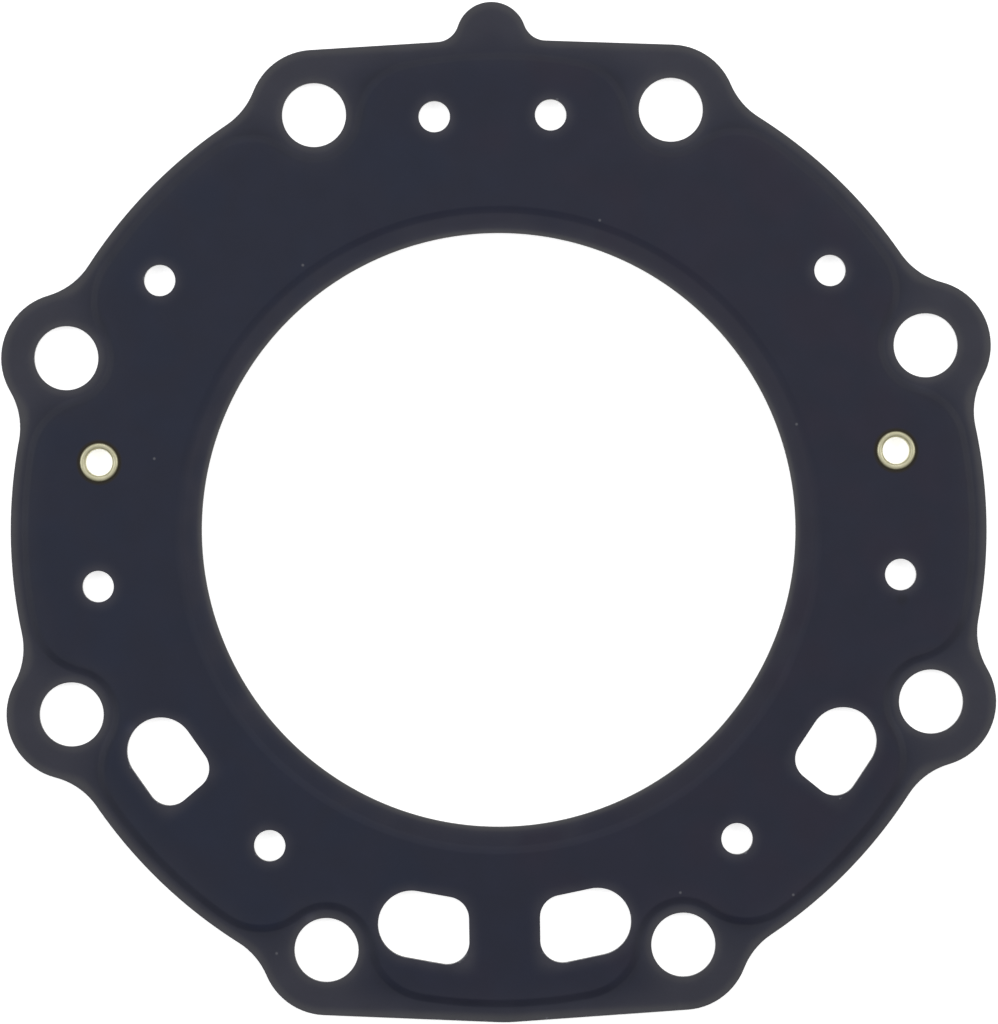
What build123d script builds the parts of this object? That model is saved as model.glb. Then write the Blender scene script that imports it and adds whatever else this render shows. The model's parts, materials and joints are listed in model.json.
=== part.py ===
from build123d import *
from math import cos, radians, sin
import os

# Cylinder head gasket for a liquid-cooled single: three steel layers held together by two eyelets.
# All sizes are in millimetres. The origin is on the bore's axis, level with the face that lies on
# the block, +Z is up towards the head and +Y points at the tab. The gasket is the same on both
# sides of X = 0, and its upper and lower layers are mirror images of each other.

# Sheets and beads
outer_sheet = 0.25
core_sheet = 0.5
bead_height = 0.2
bead_width = 1.1
bend_radius = 1.6

# Sheet: a disc with a bore, a boss round each stud, straight ends and a tab
bore_radius = 45.5
body_radius = 74.8
boss_wall = 5.1
neck_radius = 11.0
top_crown = 0.5
bottom_crown = 0.7
tab_radius = 5.4
tab_reach = 0.75
tab_neck_radius = 3.5

# Stud holes, placed by how far inside the disc's edge they are and their angle from the X axis
stud_hole_radius = 4.9
end_stud_inset = 5.2
end_stud_angle = 66.86
side_stud_inset = 3.5
side_stud_angle = 22.52

# Round coolant holes, placed the same way
coolant_hole_radius = 2.4
coolant_places = [(10.7, 82.0), (10.3, 37.2), (12.8, -7.2), (15.0, -53.2)]

# Coolant slots, round at one end and cut off at a web at the other. An angle is where the round
# end's centre is, a lean is the direction that the slot runs square to, bottom_web is the web's
# width at X = 0, and side_web_angle is the line that the side slots stop at.
slot_width = 10.3
slot_corner = 3.4
slot_inset = 12.9
bottom_slot_angle = -76.7
bottom_slot_lean = -78.95
bottom_web = 10.9
side_slot_angle = -32.35
side_slot_lean = -34.4
side_web_angle = -39.8

# Beads: one round the bore, and one round the coolant zone that passes inside every stud hole
bore_bead_wall = 3.6
zone_inset = 2.2
stud_bead_wall = 1.9
zone_corner_radius = 9.3

# Eyelets of thin brass, rolled into a closed curl at each end. The head is the curl on the upper side
# and the set the one below, and each lies in a shallow seat coined in an outer layer.
eyelet_inset = 12.7
eyelet_angle = 10.44
eyelet_bore_radius = 2.05
eyelet_wall = 0.2
eyelet_clearance = 0.1
throat_bend = 0.48
head_bend = 0.4
set_bend = 0.34
curl_flat = 0.04
seat_wall = 0.33
seat_depth = 0.05

# Levels, up from the face that lies on the block
low_sheet_top = bead_height + outer_sheet
core_top = low_sheet_top + core_sheet
top_flat = core_top + outer_sheet
gasket_top = top_flat + bead_height
high_seat = gasket_top - seat_depth

# Sizes and places that follow from the others
half_slope = bead_width / 2
zone_root = outer_sheet / 2
boss_radius = stud_hole_radius + boss_wall
stud_bead_radius = stud_hole_radius + stud_bead_wall
zone_radius = body_radius - zone_inset
bore_bead_radius = bore_radius + bore_bead_wall
tab_centre = (0, body_radius + tab_reach)
eyelet_hole_radius = eyelet_bore_radius + eyelet_wall + eyelet_clearance
head_rim = eyelet_bore_radius + throat_bend + curl_flat + head_bend
head_crest = high_seat + curl_flat + head_bend
set_rim = eyelet_bore_radius + throat_bend + curl_flat + set_bend
set_crest = seat_depth - curl_flat - set_bend
seat_radius = head_rim + seat_wall


def inside_edge(inset, angle):
    """The point at this distance inside the disc's edge and this angle from +X."""
    reach = body_radius - inset
    return (reach * cos(radians(angle)), reach * sin(radians(angle)))


end_stud = inside_edge(end_stud_inset, end_stud_angle)
side_stud = inside_edge(side_stud_inset, side_stud_angle)
quarters = [(1, 1), (1, -1), (-1, 1), (-1, -1)]
stud_places = [(side * x, end * y) for x, y in (end_stud, side_stud) for side, end in quarters]
right_eyelet_place = inside_edge(eyelet_inset, eyelet_angle)
left_eyelet_place = inside_edge(eyelet_inset, 180 - eyelet_angle)


def on_circle(centre, radius):
    """Tests whether a vertex lies on a circle."""
    return lambda v: abs((Vector(v.X, v.Y) - Vector(*centre)).length - radius) < 1e-4


def straight_end(crown):
    """The sheet between the two bosses at +Y, with straight edges that rise to a low crown at X = 0."""
    boss = CenterArc(end_stud, boss_radius, 0, 360)
    peak = (0, body_radius + crown)
    with BuildSketch() as end:
        with BuildLine():
            edge = ConstrainedLines(boss, peak, selector=lambda lines: lines.sort_by(Axis.Y)[-1])
            touch = edge.vertices().sort_by(Axis.X)[-1]
            Polyline((touch.X, touch.Y), end_stud, (0, 0), peak)
        make_face()
        mirror(about=Plane.YZ)
    return end.sketch


def sheet_outline():
    """The sheet's outline with no holes."""
    with BuildSketch() as sheet:
        Circle(body_radius)
        with Locations(*stud_places):
            Circle(boss_radius)
        add(straight_end(top_crown))
        add(mirror(straight_end(bottom_crown), about=Plane.XZ))
        fillet(sheet.vertices().filter_by(on_circle((0, 0), body_radius)), neck_radius)
        with Locations(tab_centre):
            Circle(tab_radius)
        fillet(sheet.vertices().filter_by(on_circle(tab_centre, tab_radius)), tab_neck_radius)
    return sheet.sketch


def coolant_slot(angle, lean, web):
    """A slot that runs clockwise from its round end to a web's plane, with its mirror image."""
    with BuildSketch() as slot:
        with Locations(Location(inside_edge(slot_inset, angle), lean - 90)):
            Circle(slot_width / 2)
            Rectangle(2 * slot_width, slot_width, align=(Align.MIN, Align.CENTER))
        split(bisect_by=web, keep=Keep.TOP)
        corners = slot.vertices().filter_by(lambda v: abs(web.to_local_coords(v).Z) < 1e-4)
        fillet(corners, slot_corner)
        mirror(about=Plane.YZ)
    return slot.sketch


def sheet_holes():
    """Every hole that goes through all three layers."""
    bottom_end = Plane((bottom_web / 2, 0, 0), z_dir=(1, 0, 0))
    side_turn = radians(side_web_angle + 90)
    side_end = Plane((0, 0, 0), z_dir=(cos(side_turn), sin(side_turn), 0))
    with BuildSketch() as holes:
        Circle(bore_radius)
        with Locations(*stud_places):
            Circle(stud_hole_radius)
        for inset, angle in coolant_places:
            with Locations(inside_edge(inset, angle), inside_edge(inset, 180 - angle)):
                Circle(coolant_hole_radius)
        add(coolant_slot(bottom_slot_angle, bottom_slot_lean, bottom_end))
        add(coolant_slot(side_slot_angle, side_slot_lean, side_end))
        with Locations(right_eyelet_place, left_eyelet_place):
            Circle(eyelet_hole_radius)
    return holes.sketch


def zone_outline():
    """The coolant zone at the foot of its slopes, between the bore bead and the outer bead."""
    edge_radius = zone_radius + half_slope
    with BuildSketch() as zone:
        Circle(edge_radius)
        with Locations(*stud_places):
            Circle(stud_bead_radius - half_slope, mode=Mode.SUBTRACT)
        corners = zone.vertices().filter_by(on_circle((0, 0), edge_radius))
        fillet(corners, zone_corner_radius + half_slope)
        Circle(bore_bead_radius - half_slope, mode=Mode.SUBTRACT)
    return zone.sketch


def raised_zone(level):
    """The coolant zone as a solid that rises from a level by the bead's height. Both beads' slopes are
    its sides, and its root reaches below the level, into the sheet that it is added to."""
    with BuildPart() as zone:
        with BuildSketch(Plane.XY.offset(level - zone_root)):
            add(zone_outline())
        extrude(amount=zone_root + bead_height)
        crest = zone.faces().sort_by(Axis.Z)[-1]
        chamfer(crest.edges(), length=bead_width, length2=bead_height, reference=crest)
    return zone.part


def bend_edges(sheet, level):
    """The edges at a level where the beads' slopes meet the flat of the sheet."""
    slopes = sheet.faces().filter_by(GeomType.CONE)
    return slopes.edges().filter_by_position(Axis.Z, level, level)


def eyelet(centre):
    """A short brass tube, both ends of which are rolled outwards until the curls meet their seats."""
    outside = eyelet_bore_radius + eyelet_wall
    with BuildPart() as ring:
        with BuildSketch(Plane(origin=(*centre, 0), x_dir=(1, 0, 0), z_dir=(0, -1, 0))) as wall:
            with BuildLine():
                Polyline(
                    (eyelet_bore_radius, set_crest),
                    (set_rim, set_crest),
                    (set_rim, seat_depth),
                    (outside, seat_depth),
                    (outside, high_seat),
                    (head_rim, high_seat),
                    (head_rim, head_crest),
                    (eyelet_bore_radius, head_crest),
                    close=True,
                )
            make_face()
            for end, rim_bend in ((-1, head_bend), (0, set_bend)):
                fillet(wall.vertices().group_by(Axis.Y)[end].sort_by(Axis.X)[-1], rim_bend)
                fillet(wall.vertices().group_by(Axis.Y)[end].sort_by(Axis.X)[0], throat_bend)
        revolve(axis=Axis((*centre, 0), (0, 0, 1)))
    return ring.part


outline = sheet_outline()
holes = sheet_holes()

with BuildPart() as core_layer:
    with BuildSketch(Plane.XY.offset(low_sheet_top)):
        add(outline)
        add(holes, mode=Mode.SUBTRACT)
    extrude(amount=core_sheet)

with BuildPart() as upper_layer:
    with BuildSketch(Plane.XY.offset(core_top)):
        add(outline)
    extrude(amount=outer_sheet)
    add(raised_zone(top_flat))
    add(raised_zone(core_top), mode=Mode.SUBTRACT)
    fillet(bend_edges(upper_layer, gasket_top), bend_radius + outer_sheet)
    fillet(bend_edges(upper_layer, top_flat), bend_radius)
    with BuildSketch(Plane.XY.offset(core_top)):
        add(holes)
    extrude(amount=gasket_top - core_top, mode=Mode.SUBTRACT)
    with BuildSketch(Plane.XY.offset(gasket_top)):
        with Locations(right_eyelet_place, left_eyelet_place):
            Circle(seat_radius)
    extrude(amount=-seat_depth, mode=Mode.SUBTRACT)

with BuildPart() as lower_layer:
    add(mirror(upper_layer.part, about=Plane.XY.offset(gasket_top / 2)))

with BuildPart() as right_eyelet:
    add(eyelet(right_eyelet_place))

with BuildPart() as left_eyelet:
    add(eyelet(left_eyelet_place))

pieces = {
    "upper_layer": upper_layer,
    "core_layer": core_layer,
    "lower_layer": lower_layer,
    "right_eyelet": right_eyelet,
    "left_eyelet": left_eyelet,
}
os.makedirs("parts", exist_ok=True)
for name, piece in pieces.items():
    piece.part.label = name
    export_step(piece.part, f"parts/{name}.step")
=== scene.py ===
import json
from math import acos, atan, atan2, ceil, cos, hypot, pi, radians, sin, sqrt, tan

import bmesh
import bpy
from mathutils import Matrix, Vector


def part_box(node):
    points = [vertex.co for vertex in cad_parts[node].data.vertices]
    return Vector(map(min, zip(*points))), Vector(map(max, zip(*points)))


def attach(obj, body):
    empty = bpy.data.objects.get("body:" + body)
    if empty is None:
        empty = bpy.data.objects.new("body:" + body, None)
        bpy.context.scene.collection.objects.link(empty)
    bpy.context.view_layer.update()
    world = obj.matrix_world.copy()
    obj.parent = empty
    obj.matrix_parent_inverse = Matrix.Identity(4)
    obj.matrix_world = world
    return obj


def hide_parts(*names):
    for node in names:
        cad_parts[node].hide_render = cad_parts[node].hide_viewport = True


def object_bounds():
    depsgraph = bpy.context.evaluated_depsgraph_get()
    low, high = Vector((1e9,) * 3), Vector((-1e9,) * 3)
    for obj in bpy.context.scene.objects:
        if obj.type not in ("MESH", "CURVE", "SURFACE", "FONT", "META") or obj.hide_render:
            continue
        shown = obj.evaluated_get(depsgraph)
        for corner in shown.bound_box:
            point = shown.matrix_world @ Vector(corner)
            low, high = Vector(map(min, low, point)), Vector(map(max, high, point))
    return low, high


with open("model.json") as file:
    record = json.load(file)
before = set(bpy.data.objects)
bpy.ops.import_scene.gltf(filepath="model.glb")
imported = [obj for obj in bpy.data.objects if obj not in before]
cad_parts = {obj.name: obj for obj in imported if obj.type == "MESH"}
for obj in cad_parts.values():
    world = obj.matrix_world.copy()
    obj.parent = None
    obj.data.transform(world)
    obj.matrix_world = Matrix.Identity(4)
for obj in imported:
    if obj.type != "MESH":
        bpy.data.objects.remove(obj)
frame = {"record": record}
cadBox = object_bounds()
mounts = {mount["name"]: mount["dims"] for mount in frame["record"]["mounts"]}
print("frame loaded")

# Shapes are drawn in millimetres, and each mesh is scaled to metres when it is finished.
mm = 0.001
up = Vector((0, 0, 1))
weldGap = 0.001  # points this close are one
sharpAngle = 50  # in degrees: edges that bend more look sharp

sheet = {
    "thickness": 0.25,  # each outer sheet; the core's own comes from the frame
    "beadHeight": 0.2,
    "beadWidth": 1.1,  # across the slope
    "bendRadius": 1.7,
    "bendSteps": 3,
    "bodyRadius": 74.8,
    "bossWall": 5.1,
    "neckRadius": 11.0,
    "crownRise": 0.7,  # the straight end at -Y, past the disc's edge
    "crownRadius": 20.0,
    "tabRadius": 5.4,
    "tabReach": 0.75,
    "tabNeckRadius": 3.5,
    "tabNeckHeight": 78.4,
    "borePath": 49.1,  # the middle of the bore bead's slope
    "zoneInset": 2.2,
    "studPathWall": 1.9,
    "zoneCorner": 9.3,
    "coolantRadius": 2.4,
    "coolantPlaces": [(10.7, 82.0), (10.3, 37.2), (12.8, -7.2), (15.0, -53.2)],
    "seatRadius": 3.3,
    "seatDepth": 0.05,
    "seatSlope": 0.02,  # how far the seat's wall leans
    "flatStrip": 0.14,  # true flat kept beside each edge and bend
    "wallRise": 0.2,  # a face whose normal rises less than this is a cut wall
    "rimAngle": 1.45,  # in radians: edges that bend more are rolled
    "rolledEdge": 0.06,
    "rollSteps": 2,
    "longestStep": 0.9,
    "fewestSteps": 60,  # round a full turn
}

eyelets = {
    "place": (12.7, 10.44),
    "bore": 2.05,
    "outside": 2.25,
    "hole": 2.35,  # through the sheets
    "throat": 0.48,
    "headRoll": 0.4,
    "setRoll": 0.34,
    "flat": 0.04,
    "bendSteps": 7,
    "steps": 96,
}

slots = {
    "width": 10.3,
    "corner": 3.4,
    "inset": 12.9,
    "bottom": {"angle": -76.7, "lean": -78.95, "webFaces": 0.0, "webAt": 5.45},
    "side": {"angle": -32.35, "lean": -34.4, "webFaces": 50.2, "webAt": 0.0},
}

boreRadius = mounts["cylinder_bore"]["r_mm"]
studRadius = mounts["end_studs"]["hole_r_mm"]
endStud, sideStud = [
    (mounts[name]["spacing_x_mm"] / 2, mounts[name]["spacing_y_mm"] / 2)
    for name in ("end_studs", "side_studs")
]
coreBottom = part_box("core_layer")[0].z / mm
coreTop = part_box("core_layer")[1].z / mm
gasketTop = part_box("upper_layer")[1].z / mm
lowTop = gasketTop - sheet["beadHeight"]


# A ring is an outline as a belt round circles, anticlockwise. Each circle is (x, y, radius), and
# its radius is negative where the outline bends inwards.
def insideEdge(inset, angle):
    reach = sheet["bodyRadius"] - inset
    return (reach * cos(radians(angle)), reach * sin(radians(angle)))


def mirrored(ring, x, y):
    flipped = [(x * centreX, y * centreY, radius) for centreX, centreY, radius in ring]
    return flipped if x * y > 0 else flipped[::-1]


def eitherSide(place, reach, gap):  # the two points at these distances from the origin and a place
    away = hypot(*place)
    turn = acos((away**2 + reach**2 - gap**2) / (2 * away * reach))
    middle = atan2(place[1], place[0])
    angles = (middle - turn, middle + turn)
    return [(reach * cos(angle), reach * sin(angle)) for angle in angles]


def allRound(disc, quarter, top, bottom):
    upper = quarter + top + mirrored(quarter, -1, 1)
    lower = mirrored(quarter, -1, -1) + bottom + mirrored(quarter, 1, -1)
    return [disc] + upper + [disc] + lower


def outlineRing():
    disc = (0, 0, sheet["bodyRadius"])
    boss = studRadius + sheet["bossWall"]
    neck = sheet["neckRadius"]
    beforeSide, afterSide = eitherSide(sideStud, sheet["bodyRadius"] + neck, boss + neck)
    beforeEnd, afterEnd = eitherSide(endStud, sheet["bodyRadius"] + neck, boss + neck)
    quarter = [(*beforeSide, -neck), (*sideStud, boss), (*afterSide, -neck)]
    quarter += [disc, (*beforeEnd, -neck), (*endStud, boss)]
    tabHeight = sheet["bodyRadius"] + sheet["tabReach"]
    neckGap = sheet["tabRadius"] + sheet["tabNeckRadius"]
    neckReach = sqrt(neckGap**2 - (sheet["tabNeckHeight"] - tabHeight) ** 2)
    tabNeck = [(neckReach, sheet["tabNeckHeight"], -sheet["tabNeckRadius"])]
    tab = tabNeck + [(0, tabHeight, sheet["tabRadius"])] + mirrored(tabNeck, -1, 1)
    crownHeight = sheet["bodyRadius"] + sheet["crownRise"] - sheet["crownRadius"]
    return allRound(disc, quarter, tab, [(0, -crownHeight, sheet["crownRadius"])])


def zoneRing():  # the middle of the outer bead's slope
    disc = (0, 0, sheet["bodyRadius"] - sheet["zoneInset"])
    path = studRadius + sheet["studPathWall"]
    corner = sheet["zoneCorner"]
    beforeSide, afterSide = eitherSide(sideStud, disc[2] - corner, path + corner)
    beforeEnd, afterEnd = eitherSide(endStud, disc[2] - corner, path + corner)
    quarter = [(*beforeSide, corner), (*sideStud, -path), (*afterSide, corner)]
    quarter += [disc, (*beforeEnd, corner), (*endStud, -path), (*afterEnd, corner)]
    return allRound(disc, quarter, [disc], [disc])


def slotRing(slot):
    run = radians(slot["lean"] - 90)
    along = Vector((cos(run), sin(run)))
    across = Vector((along.y, -along.x))
    web = Vector((cos(radians(slot["webFaces"])), sin(radians(slot["webFaces"]))))
    roundEnd = Vector(insideEdge(slots["inset"], slot["angle"]))
    ring = [(*roundEnd, slots["width"] / 2)]
    for side in (1, -1):
        start = roundEnd + across * side * (slots["width"] / 2 - slots["corner"])
        travel = (slots["corner"] + slot["webAt"] - web.dot(start)) / web.dot(along)
        ring.append((*(start + along * travel), slots["corner"]))
    return ring


def bothSides(rings):
    return rings + [mirrored(ring, -1, 1) for ring in rings]


outline = outlineRing()
zone = zoneRing()
bore = [(0, 0, boreRadius)]
coolantPlaces = [insideEdge(*place) for place in sheet["coolantPlaces"]]
eyeletPlace = insideEdge(*eyelets["place"])
studHoles = [
    [(sideX * x, sideY * y, studRadius)]
    for x, y in (endStud, sideStud)
    for sideX in (1, -1)
    for sideY in (1, -1)
]
coolantHoles = bothSides([[(*place, sheet["coolantRadius"])] for place in coolantPlaces])
coolantSlots = bothSides([slotRing(slots["bottom"]), slotRing(slots["side"])])
eyeletHoles = bothSides([[(*eyeletPlace, eyelets["hole"])]])


# Each circle's turn along the outline, with the way out of the sheet where the turn starts.
def turns(ring):
    if len(ring) == 1:
        return [(Vector((1, 0, 0)), 2 * pi)]
    ways = []
    for (x, y, radius), (nextX, nextY, nextRadius) in zip(ring, ring[1:] + ring[:1]):
        lean = max(-1, min(1, (radius - nextRadius) / hypot(nextX - x, nextY - y)))
        ways.append(atan2(nextY - y, nextX - x) - acos(lean))
    made = []
    for (_, _, radius), fromWay, toWay in zip(ring, ways[-1:] + ways[:-1], ways):
        turn = (toWay - fromWay) % (2 * pi) - (2 * pi if radius < 0 else 0)
        made.append((Vector((cos(fromWay), sin(fromWay), 0)), turn))
    return made


def rim(corner):  # the open edges of the loop through a corner
    loop = []
    while True:
        used = loop[-1:] + loop[:1]
        onward = [edge for edge in corner.link_edges if edge.is_boundary and edge not in used]
        if not onward:
            return loop
        loop.append(onward[0])
        corner = onward[0].other_vert(corner)


def drawOut(bm, section, run):  # carries a section along a straight run
    return bmesh.ops.spin(bm, geom=section, axis=up, angle=0, dvec=run, steps=1)["geom_last"]


# Carries a profile of (spread, height) round a ring, and returns its two rims.
def sweep(bm, ring, profile):
    route = turns(ring)
    centres = [Vector((x, y, 0)) for x, y, _ in ring]
    radii = [radius for _, _, radius in ring]
    starts = [centre + out * radius for centre, (out, _), radius in zip(centres, route, radii)]
    firstOut = route[0][0]
    profilePlaces = [starts[0] + firstOut * spread + up * height for spread, height in profile]
    band = bmesh.new()  # a bmesh of its own is much faster
    first = [band.verts.new(place) for place in profilePlaces]
    section = first + [band.edges.new(pair) for pair in zip(first, first[1:])]
    for i, (_, turn) in enumerate(route):
        density = max(abs(radii[i]) / sheet["longestStep"], sheet["fewestSteps"] / (2 * pi))
        bend = {"cent": centres[i], "axis": up, "angle": turn}
        bend |= {"steps": ceil(abs(turn) * density), "use_merge": len(ring) == 1}
        section = bmesh.ops.spin(band, geom=section, **bend)["geom_last"]
        end = centres[i] + Matrix.Rotation(turn, 3, "Z") @ (starts[i] - centres[i])
        straight = starts[(i + 1) % len(ring)] - end
        if straight.length > weldGap:
            section = drawOut(band, section, straight)
    doubles = bmesh.ops.find_doubles(band, verts=band.verts[:], keep_verts=first, dist=weldGap)
    bmesh.ops.weld_verts(band, targetmap=doubles["targetmap"])
    band.edges.index_update()
    ends = (first[0], first[-1])
    rims = [[edge.index + len(bm.edges) for edge in rim(corner)] for corner in ends]
    mesh = bpy.data.meshes.new("band")
    band.to_mesh(mesh)
    bm.from_mesh(mesh)
    bm.edges.ensure_lookup_table()
    return [[bm.edges[index] for index in loop] for loop in rims]


def fill(bm, rims):
    bmesh.ops.triangle_fill(bm, use_beauty=True, edges=sum(rims, []), normal=up)


# From low to high. The side is 1 where the low flat is outside the ring.
def beadProfile(middle, side):
    tilt = atan(sheet["beadHeight"] / sheet["beadWidth"])
    radius = sheet["bendRadius"]
    end = sheet["beadWidth"] / 2 + radius * tan(tilt / 2)
    bends = [tilt * step / sheet["bendSteps"] for step in range(sheet["bendSteps"] + 1)]
    foot = [(end + sheet["flatStrip"], 0)]
    foot += [(end - radius * sin(bend), radius * (1 - cos(bend))) for bend in bends]
    crest = [(-across, sheet["beadHeight"] - rise) for across, rise in reversed(foot)]
    return [(middle + side * across, lowTop + rise) for across, rise in foot + crest]


def edgeProfile(height, side=1):  # a true flat along a cut edge
    return [(0, height), (side * sheet["flatStrip"], height)]


def seatProfile():
    wall = sheet["seatRadius"] - eyelets["hole"]
    seat = gasketTop - sheet["seatDepth"]
    slope = [(wall - sheet["seatSlope"], seat), (wall, gasketTop)]
    return [(0, seat)] + slope + [(wall + sheet["flatStrip"], gasketTop)]


def outerSheet():
    bm = bmesh.new()
    boreProfile = edgeProfile(lowTop) + beadProfile(sheet["borePath"] - boreRadius, -1)
    marginRim, zoneRim = sweep(bm, zone, beadProfile(0, 1))
    margin = [marginRim, sweep(bm, outline, edgeProfile(lowTop, -1))[1]]
    margin += [sweep(bm, hole, edgeProfile(lowTop))[1] for hole in studHoles]
    plateau = [zoneRim, sweep(bm, bore, boreProfile)[1]]
    plateau += [sweep(bm, hole, edgeProfile(gasketTop))[1] for hole in coolantHoles + coolantSlots]
    plateau += [sweep(bm, hole, seatProfile())[1] for hole in eyeletHoles]
    fill(bm, margin)
    fill(bm, plateau)
    return bm


def coreSheet():
    bm = bmesh.new()
    holes = [bore] + studHoles + coolantHoles + coolantSlots + eyeletHoles
    outerRim = sweep(bm, outline, edgeProfile(coreTop, -1))[1]
    fill(bm, [outerRim] + [sweep(bm, hole, edgeProfile(coreTop))[1] for hole in holes])
    return bm


def addObject(name, data):
    made = bpy.data.objects.new(name, data)
    bpy.context.scene.collection.objects.link(made)
    return made


def addMesh(bm, name):
    mesh = bpy.data.meshes.new(name)
    bm.to_mesh(mesh)
    bm.free()
    return addObject(name, mesh)


def toMetres(bm):
    bmesh.ops.scale(bm, verts=bm.verts[:], vec=(mm, mm, mm))


def makePiece(bm, name):
    piece = addMesh(bm, name)
    piece.data.shade_smooth()
    piece.data.set_sharp_from_angle(angle=radians(sharpAngle))
    print(name, len(piece.data.polygons), "faces")
    return piece


# A solid sheet from its top face, with rolled edges. Its cut walls take the second material.
def makeSheet(bm, name, thickness):
    bmesh.ops.reverse_faces(bm, faces=[face for face in bm.faces if face.normal.z < 0])
    bmesh.ops.solidify(bm, geom=bm.faces[:], thickness=thickness)
    for face in bm.faces:
        face.material_index = int(abs(face.normal.z) < sheet["wallRise"])
    rims = [edge for edge in bm.edges if edge.calc_face_angle() > sheet["rimAngle"]]
    roll = {"offset": sheet["rolledEdge"], "segments": sheet["rollSteps"], "profile": 0.5}
    bmesh.ops.bevel(bm, geom=rims, affect="EDGES", material=-1, **roll)
    toMetres(bm)
    return makePiece(bm, name)


def underneath(upper, name):  # the same sheet turned to the other side
    bm = bmesh.new()
    bm.from_mesh(upper.data)
    bmesh.ops.scale(bm, verts=bm.verts[:], vec=(1, 1, -1))
    bmesh.ops.translate(bm, verts=bm.verts[:], vec=up * gasketTop * mm)
    bmesh.ops.reverse_faces(bm, faces=bm.faces[:])
    return makePiece(bm, name)


def makeEyelet(name, side):
    bm = bmesh.new()
    throat, flat = eyelets["throat"], eyelets["flat"]
    head, foot = eyelets["headRoll"], eyelets["setRoll"]
    seatTop, seatFoot = gasketTop - sheet["seatDepth"], sheet["seatDepth"]
    headRim = eyelets["bore"] + throat + flat + head
    tube = seatTop - seatFoot + 2 * flat + head + foot - 2 * throat
    underFoot = foot - head + headRim - eyelets["outside"]
    underHead = headRim - eyelets["outside"]
    # Each straight run, along X and Z, and the radius of the bend after it.
    runs = [(0, flat, head), (-flat, 0, throat), (0, -tube, throat), (flat, 0, foot), (0, flat, 0)]
    runs += [(-underFoot, 0, 0), (0, seatTop - seatFoot, 0), (underHead, 0, 0)]
    tip = [bm.verts.new((headRim, 0, seatTop))]
    for along, rise, radius in runs:
        tip = drawOut(bm, tip, Vector((along, 0, rise)))
        if radius:
            centre = tip[0].co + Vector((-rise, 0, along)).normalized() * radius
            bend = {"cent": centre, "angle": pi / 2, "steps": eyelets["bendSteps"]}
            tip = bmesh.ops.spin(bm, geom=tip, axis=(0, -1, 0), **bend)["geom_last"]
    bmesh.ops.remove_doubles(bm, verts=bm.verts[:], dist=weldGap)
    around = {"axis": up, "angle": 2 * pi, "steps": eyelets["steps"], "use_merge": True}
    bmesh.ops.spin(bm, geom=bm.verts[:] + bm.edges[:], **around)
    x, y = eyeletPlace
    bmesh.ops.translate(bm, verts=bm.verts[:], vec=(side * x, y, 0))
    toMetres(bm)
    bmesh.ops.recalc_face_normals(bm, faces=bm.faces[:])
    return makePiece(bm, name)


upperSheet = makeSheet(outerSheet(), "upperSheet", sheet["thickness"])
lowerSheet = underneath(upperSheet, "lowerSheet")
core = makeSheet(coreSheet(), "coreSheet", coreTop - coreBottom)
rightEyelet = makeEyelet("rightBrassEyelet", 1)
leftEyelet = makeEyelet("leftBrassEyelet", -1)


class Value:  # an output of a shader node, or the start of a tree
    def __init__(self, tree, socket=None):
        self.tree = tree
        self.socket = socket

    def add(self, kind, settings=(), sockets=(), output=0):
        node = self.tree.nodes.new("ShaderNode" + kind)
        for name, value in dict(settings).items():
            setattr(node, name, value)
        for name, value in dict(sockets).items():
            if isinstance(value, Value):
                self.tree.links.new(value.socket, node.inputs[name])
            else:
                node.inputs[name].default_value = value
        return Value(self.tree, None if output is None else node.outputs[output])

    def maths(self, operation, *values):
        return self.add("Math", {"operation": operation}, dict(enumerate(values)))

    def __add__(self, other):
        return self.maths("ADD", self, other)

    def __sub__(self, other):
        return self.maths("SUBTRACT", self, other)

    def __rsub__(self, other):
        return self.maths("SUBTRACT", other, self)

    def __mul__(self, other):
        return self.maths("MULTIPLY", self, other)

    def __pow__(self, other):
        return self.maths("POWER", self, other)

    def __abs__(self):
        return self.maths("ABSOLUTE", self)

    __radd__ = __add__
    __rmul__ = __mul__

    def least(self, other, spread=0.0):
        return self.maths("SMOOTH_MIN" if spread else "MINIMUM", self, other, spread)

    def most(self, other, spread=0.0):
        return self.maths("SMOOTH_MAX" if spread else "MAXIMUM", self, other, spread)

    def away(self, spot=(0, 0)):  # how far a flat position is from a spot
        return self.add("VectorMath", {"operation": "DISTANCE"}, {0: self, 1: (*spot, 0)}, 1)

    def toward(self, angle):  # how far a position is in this direction from the middle
        way = (cos(angle), sin(angle), 0)
        return self.add("VectorMath", {"operation": "DOT_PRODUCT"}, {0: self, 1: way}, 1)

    def flat(self, other):  # a flat position from two offsets
        return self.add("CombineXYZ", (), {0: self, 1: other})

    def past(self, start, end):  # 0 up to the start, 1 from the end
        ends = {"Value": self, "From Min": start, "From Max": end}
        return self.add("MapRange", {"interpolation_type": "SMOOTHSTEP"}, ends)

    def within(self, start, end):  # 1 up to the start, 0 from the end
        return self.past(end, start)

    def mix(self, one, other):  # sockets by number, because their names repeat
        return self.add("Mix", {"data_type": "RGBA"}, {0: self, 6: one, 7: other}, 2)

    def brighter(self, factor):
        return self.add("VectorMath", {"operation": "SCALE"}, {0: self, "Scale": factor})

    def noise(self, scale, detail):  # on a position, about 0
        return self.add("TexNoise", (), {"Vector": self, "Scale": scale, "Detail": detail}) - 0.5

    def stretched(self, x, y, z):
        return self.add("VectorMath", {"operation": "MULTIPLY"}, {0: self, 1: (x, y, z)})

    def axis(self, index):
        return self.add("SeparateXYZ", (), {0: self}, index)

    def bump(self, height, strength, distance):
        return self.add("Bump", (), {"Strength": strength, "Distance": distance, "Height": height})


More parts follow.
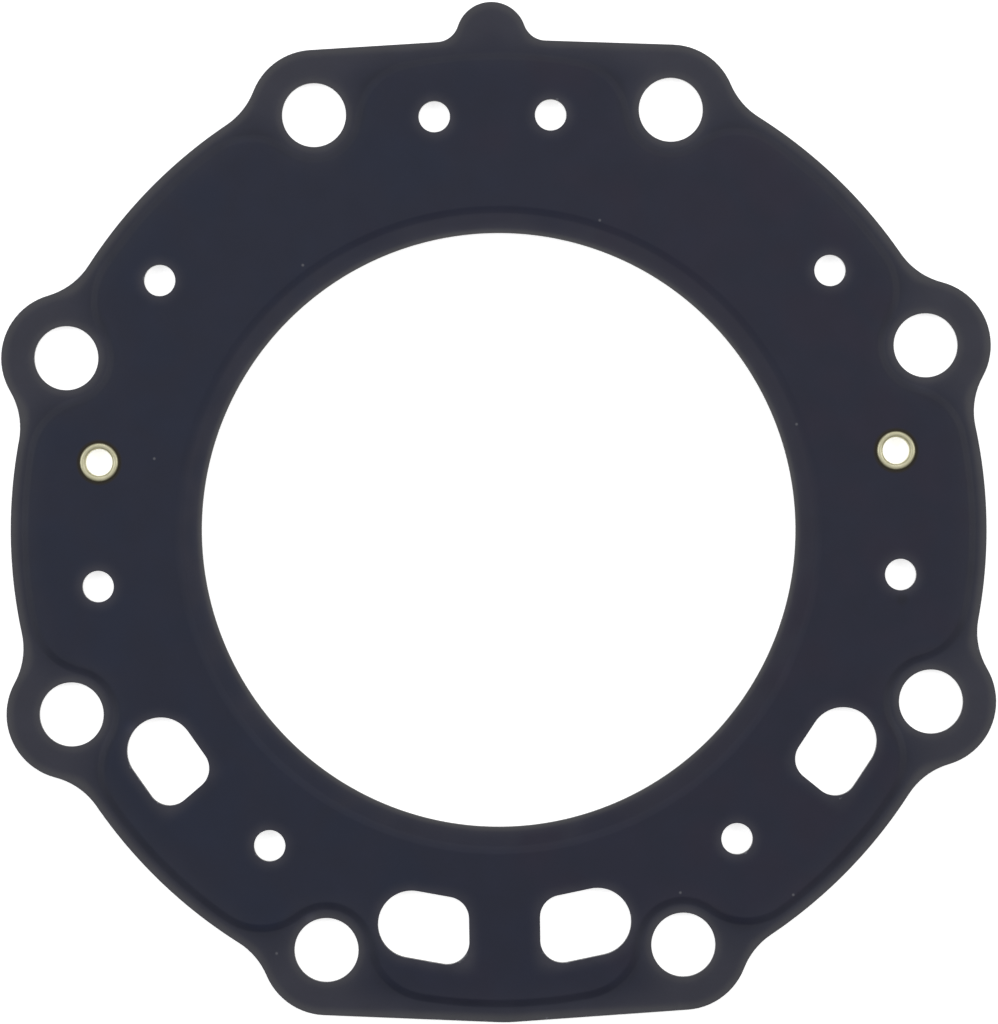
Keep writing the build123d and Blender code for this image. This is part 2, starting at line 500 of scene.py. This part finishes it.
def startMaterial(name):  # with the position on the piece, in millimetres
    material = bpy.data.materials.new(name)
    material.use_nodes = True
    material.node_tree.nodes.clear()
    tree = Value(material.node_tree)
    place = tree.add("TexCoord", (), (), "Object").brighter(1 / mm)
    return material, tree, place


def endMaterial(tree, surface):
    tree.add("OutputMaterial", (), {"Surface": surface}, None)


def endSurface(tree, colour, roughness, metallic, normal):
    sockets = {"Base Color": colour, "Metallic": metallic, "Roughness": roughness}
    endMaterial(tree, tree.add("BsdfPrincipled", (), sockets | {"Normal": normal}))


def paint(red, green, blue):  # a colour as an image editor gives it
    return (*(((part / 255 + 0.055) / 1.055) ** 2.4 for part in (red, green, blue)), 1.0)


coating = {
    "plateau": paint(20, 24.5, 46),
    "margin": paint(40, 41, 56),  # outside the outer bead
    "boreRing": paint(34, 35, 51),
    "cutEdge": paint(54, 54, 64),  # a painted glare, paler beside each cut edge
    "shine": paint(72, 72, 75),  # a painted highlight where the rolled edges catch the light
    "leftTint": paint(15, 25, 49),
    "rightTint": paint(28, 24, 45),
    "brassTint": paint(36, 29, 10),  # a painted olive-brown contact shadow round the eyelets
    "rubbed": paint(84, 85, 92),
    # How far the patterns round off where two edges meet.
    "neckSpread": 5.0,
    "tabSpread": 6.0,
    "zoneSpread": 12.0,
    "slotSpread": 5.5,
    "endHeight": 75.35,  # the straight ends, and how far they fall for each millimetre across
    "endFall": 0.0475,
    # The noises, each with its scale and detail.
    "blotches": (0.08, 1.0),
    "cloud": (0.22, 2.0),
    "grain": (3.2, 1.0),
    "chips": (0.9, 2.0),
    # Where one colour gives way to the next, as distances inside the outer bead.
    "zoneEdge": (-4.5, 0.2),
    "zoneDepth": (-2.0, 6.0),
    "zoneDepthShare": 0.15,
    "boreRingEdge": (-1.2, 0.4),  # outside the bore's bead
    "tintEdge": (-0.8, 0.7),
    "tintAcross": 30,  # the two tints meet within this distance of the middle
    "tintWander": 90,  # how far the blotches move that
    "tintBlotches": 4,  # how much stronger the tint is in a blotch
    "tintLeast": 0.2,
    "tintShare": 0.7,
    "haloEdge": (-0.6, 2.4),  # the painted glare, from a cut edge inwards
    "haloFall": 1.6,
    "haloShare": 0.95,
    # The painted highlights: which edge, how much, and from and to how far from it.
    "shines": [
        ("outline", 0.55, 0.2, 1.5),
        ("outline", 0.12, 0, 6),
        ("stud", 0.3, 0.2, 1.3),
        ("stud", 0.1, 0, 5),
        ("bore", 1.0, 0.0, 0.95),
    ],
    "brassEdge": (3.1, 3.7),  # the painted contact shadow's edge, from an eyelet's middle
    # A painted shade line along the outer bead's step: its width and how much darker.
    "beadLineWidth": 1.0,
    "beadLineDepth": 0.18,
    "cloudShade": 0.24,
    "grainShade": 0.18,
    # X, Y, radius, and how much paler.
    "rubs": [
        (-56.9, -29.6, 1.6, 0.35),
        (-29.7, -59.0, 1.3, 0.3),
        (61.7, -11.6, 1.2, -0.3),
        (33.5, -50.9, 1.0, -0.3),
    ],
    "rubWander": 2.5,  # how uneven their edges are
    "chipFade": 0.4,  # for each millimetre from a cut edge
    "chipEdge": (0.09, 0.16),
    "specks": [
        (-29.4, 41.0),
        (-52.6, 11.7),
        (16.2, 47.2),
        (45.9, 15.5),
        (-35.0, -64.4),
        (44.3, -56.6),
        (27.0, -56.0),
    ],
    "speckEdge": (0.09, 0.3),
    "roughness": 0.4,
    "cloudRoughness": 0.16,
    "haloRoughness": 0.06,
    "grainBump": 0.5,
    "bump": (0.35, 0.00002),  # strength and distance
}


def slotGap(slot, half):  # the distance outside a slot
    run = radians(slot["lean"] - 90)
    startX, startY = insideEdge(slots["inset"], slot["angle"])
    along = half.toward(run) - (startX * cos(run) + startY * sin(run))
    across = half.toward(run + pi / 2) - (startY * cos(run) - startX * sin(run))
    beyondWeb = slot["webAt"] - half.toward(radians(slot["webFaces"]))
    roundEnd = along.least(0).flat(across).away() - slots["width"] / 2
    return roundEnd.most(beyondWeb, coating["slotSpread"])


def cutEdges(x, y, whole, studAway):  # how far the surface is from three of the cut edges
    reach = whole.away()
    bossGap = studRadius + sheet["bossWall"] - studAway
    discGap = (sheet["bodyRadius"] - reach).most(bossGap, coating["neckSpread"])
    endGap = coating["endHeight"] - coating["endFall"] * abs(x) - abs(y)
    endGap = endGap.least(endStud[0] - abs(x))
    tabGap = sheet["tabRadius"] - whole.away((0, sheet["bodyRadius"] + sheet["tabReach"]))
    outlineGap = discGap.most(endGap).most(tabGap, coating["tabSpread"])
    return {"outline": outlineGap, "stud": studAway - studRadius, "bore": reach - boreRadius}


def nearestEdge(edges, half):  # how far it is from the nearest of them all
    gap = edges["outline"].least(edges["stud"]).least(edges["bore"])
    for spot in coolantPlaces:
        gap = gap.least(half.away(spot) - sheet["coolantRadius"])
    for slot in (slots["bottom"], slots["side"]):
        gap = gap.least(slotGap(slot, half))
    return gap


def makeCoating():
    material, tree, place = startMaterial("coated steel")
    x, y = place.axis(0), place.axis(1)
    whole, half, quarter = x.flat(y), abs(x).flat(y), abs(x).flat(abs(y))
    reach = whole.away()
    edges = cutEdges(x, y, whole, quarter.away(endStud).least(quarter.away(sideStud)))
    gap = nearestEdge(edges, half)
    # How far inside the outer bead, and outside the bore's, it is.
    discZone = sheet["bodyRadius"] - sheet["zoneInset"] - reach
    zoneGap = discZone.least(edges["stud"] - sheet["studPathWall"], coating["zoneSpread"])
    beadGap = reach - sheet["borePath"]
    noises = ("blotches", "cloud", "grain")
    blotches, cloud, grain = [place.noise(*coating[name]) for name in noises]
    depth = zoneGap.past(*coating["zoneDepth"]) * coating["zoneDepthShare"]
    inZone = zoneGap.past(*coating["zoneEdge"]) * (depth + (1 - coating["zoneDepthShare"]))
    colour = inZone.mix(coating["margin"], coating["plateau"])
    colour = beadGap.past(*coating["boreRingEdge"]).mix(coating["boreRing"], colour)
    wandering = x + blotches * coating["tintWander"]
    fromLeft = wandering.past(-coating["tintAcross"], coating["tintAcross"])
    tint = fromLeft.mix(coating["leftTint"], coating["rightTint"])
    patches = (abs(blotches) * coating["tintBlotches"] + coating["tintLeast"]).past(0, 1)
    tinted = patches * zoneGap.past(*coating["tintEdge"]) * coating["tintShare"]
    colour = tinted.mix(colour, tint)
    # Painted glare: paler beside each cut edge.
    glare = gap.within(*coating["haloEdge"]) ** coating["haloFall"]
    colour = (glare * (coating["haloShare"] + cloud)).mix(colour, coating["cutEdge"])
    # Painted highlights along the rolled edges.
    shine = 0
    for name, share, start, end in coating["shines"]:
        shine = edges[name].within(start, end) * share + shine
    colour = shine.least(1).mix(colour, coating["shine"])
    # A painted olive-brown contact shadow round each eyelet.
    nearBrassShade = half.away(eyeletPlace).within(*coating["brassEdge"])
    colour = nearBrassShade.mix(colour, coating["brassTint"])
    # Painted shade: darker along the outer bead's step.
    beadShade = abs(zoneGap).past(0, coating["beadLineWidth"]) * coating["beadLineDepth"]
    shade = (1 - coating["beadLineDepth"]) + beadShade
    shade = shade + cloud * coating["cloudShade"] + grain * coating["grainShade"]
    wavy = cloud * coating["rubWander"]
    for rubX, rubY, size, change in coating["rubs"]:
        shade = shade + (whole.away((rubX, rubY)) + wavy).within(0, size) * change
    colour = colour.brighter(shade)
    # Coating chipped off along the cut edges, and specks of dust.
    chips = (place.noise(*coating["chips"]) - gap * coating["chipFade"]).past(*coating["chipEdge"])
    speckGap = whole.away(coating["specks"][0])
    for speck in coating["specks"][1:]:
        speckGap = speckGap.least(whole.away(speck))
    specks = speckGap.within(*coating["speckEdge"])
    colour = chips.most(specks).mix(colour, coating["rubbed"])
    roughness = coating["roughness"] + cloud * coating["cloudRoughness"]
    roughness = roughness + glare * coating["haloRoughness"]
    normal = tree.bump(grain * coating["grainBump"] + cloud, *coating["bump"])
    endSurface(tree, colour, roughness, 0.0, normal)
    return material


cutSteelFinish = {
    "dark": paint(96, 96, 98),
    "light": paint(150, 149, 147),
    "stretch": (1.0, 1.0, 1.0),
    "marks": (4.0, 3.0),  # the noise's scale and detail
    "roughness": 0.42,
    "marksRoughness": 0.3,
    "metallic": 0.8,
    "bump": (0.4, 0.00003),
}

coreSteelFinish = {
    "dark": paint(150, 150, 148),
    "light": paint(182, 181, 177),
    "stretch": (0.15, 6.0, 1.0),  # long marks from the rolling
    "marks": (1.0, 4.0),
    "roughness": 0.3,
    "marksRoughness": 0.25,
    "metallic": 1.0,
    "bump": (0.25, 0.00001),
}


def makeSteel(name, finish):
    material, tree, place = startMaterial(name)
    marks = place.stretched(*finish["stretch"]).noise(*finish["marks"])
    colour = (marks + 0.5).mix(finish["dark"], finish["light"])
    roughness = finish["roughness"] + marks * finish["marksRoughness"]
    endSurface(tree, colour, roughness, finish["metallic"], tree.bump(marks, *finish["bump"]))
    return material


brassFinish = {
    "bright": paint(222, 218, 188),
    "dulled": paint(206, 202, 166),
    "underside": paint(80, 74, 48),  # painted shade where the curl turns down to the sheet
    "turnsDown": (2.62, 3.1),  # from and to how far from the eyelet's middle
    "groove": 2.24,  # a painted shade line round the throat, where it bends down into the hole
    "grooveWidth": 0.14,
    "grooveDepth": 0.3,
    "dull": (0.8, 4.0),
    "dullContrast": 1.6,
    "dullRoughness": 0.3,
    "fine": (9.0, 2.0),
    "fineBump": 0.4,
    "roughness": 0.45,
    "metallic": 0.45,
    "bump": (0.3, 0.00003),
}


def makeBrass():
    material, tree, place = startMaterial("plated brass")
    reach = abs(place.axis(0)).flat(place.axis(1)).away(eyeletPlace)
    dull = place.noise(*brassFinish["dull"])
    fine = place.noise(*brassFinish["fine"])
    dulled = dull * brassFinish["dullContrast"] + 0.5
    colour = dulled.mix(brassFinish["bright"], brassFinish["dulled"])
    # Painted shade on the curl, where it turns down to the sheet.
    colour = reach.past(*brassFinish["turnsDown"]).mix(colour, brassFinish["underside"])
    # A painted shade line round the throat.
    groove = abs(reach - brassFinish["groove"]).within(0, brassFinish["grooveWidth"])
    colour = colour.brighter(1 - groove * brassFinish["grooveDepth"])
    normal = tree.bump(fine * brassFinish["fineBump"] + dull, *brassFinish["bump"])
    roughness = brassFinish["roughness"] + dull * brassFinish["dullRoughness"]
    endSurface(tree, colour, roughness, brassFinish["metallic"], normal)
    return material


coated = makeCoating()
cutSteel = makeSteel("cut steel", cutSteelFinish)
coreSteel = makeSteel("rolled core steel", coreSteelFinish)
brass = makeBrass()
dressing = [
    (upperSheet, "upper_layer", "coated_steel", (coated, cutSteel)),
    (lowerSheet, "lower_layer", "coated_steel", (coated, cutSteel)),
    (core, "core_layer", "core_steel", (coreSteel, cutSteel)),
    (rightEyelet, "right_eyelet", "eyelet_brass", (brass,)),
    (leftEyelet, "left_eyelet", "eyelet_brass", (brass,)),
]
for piece, node, slotName, materials in dressing:
    for material in materials:
        piece.data.materials.append(material)
    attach(piece, "root")
    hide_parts(node)
print("materials on")

room = {
    "floorSize": 5.0,
    "floorPaint": (0.9, 0.9, 0.9, 1.0),
    "floorGlow": 0.75,
    "world": (0.12, 0.12, 0.12, 1.0),
    # name, place, the point it faces, width, height, radiance, colour
    "panels": [
        ("overhead", (0, 0.35, 1.2), (0, 0.35, 0), 1.8, 1.36, 0.45, (1, 1, 1)),
        ("right", (1.4, 0.2, 0.95), (0, 0, 0), 1.0, 0.8, 4.4, (1, 0.99, 0.97)),
        ("left", (-1.4, 0.2, 0.95), (0, 0, 0), 1.0, 0.8, 4.4, (0.97, 0.98, 1)),
        ("back", (0, 1.6, 0.95), (0, 0, 0), 1.4, 0.7, 3.6, (1, 1, 1)),
        ("front", (0, -1.6, 0.95), (0, 0, 0), 1.4, 0.7, 0.8, (1, 1, 1)),
    ],
}


def makeFloor():
    bm = bmesh.new()
    bmesh.ops.create_grid(bm, x_segments=1, y_segments=1, size=room["floorSize"] / 2)
    bmesh.ops.translate(bm, verts=bm.verts[:], vec=up * cadBox[0].z)
    floor = addMesh(bm, "floor")
    material, tree, _ = startMaterial("white paper")
    kinds = ("Camera", "Glossy", "Transmission")
    seen, reflected, through = [tree.add("LightPath", (), (), f"Is {kind} Ray") for kind in kinds]
    strength = (seen + reflected + through).least(1) * room["floorGlow"]
    glow = tree.add("Emission", (), {"Color": room["floorPaint"], "Strength": strength})
    paper = tree.add("BsdfDiffuse", (), {"Color": room["floorPaint"]})
    endMaterial(tree, tree.add("AddShader", (), {0: paper, 1: glow}))
    material.cycles.emission_sampling = "NONE"  # its glow is only looked at, and lights nothing
    floor.data.materials.append(material)


def makePanel(name, place, target, width, height, radiance, colour):
    lamp = bpy.data.lights.new(name, "AREA")
    lamp.shape = "RECTANGLE"
    lamp.size, lamp.size_y = width, height
    lamp.energy = radiance * pi * width * height
    lamp.color = colour
    panel = addObject(name, lamp)
    panel.location = place
    facing = Vector(target) - Vector(place)
    panel.rotation_euler = facing.to_track_quat("-Z", "Y").to_euler()


makeFloor()
for panel in room["panels"]:
    makePanel(*panel)
world = bpy.data.worlds.new("room")
world.use_nodes = True
world.node_tree.nodes["Background"].inputs["Color"].default_value = room["world"]
bpy.context.scene.world = world

view = {"x": 0.093, "y": 2.733, "above": 900, "lens": 206.5, "sensor": 36, "turn": -0.861}
lens = bpy.data.cameras.new("camera")
lens.lens = view["lens"]
lens.sensor_width = view["sensor"]
camera = addObject("camera", lens)
camera.location = Vector((view["x"], view["y"], gasketTop + view["above"])) * mm
camera.rotation_euler = (0, 0, radians(view["turn"]))
bpy.context.scene.camera = camera
bpy.context.scene.view_settings.view_transform = "Standard"
print("room and camera set")
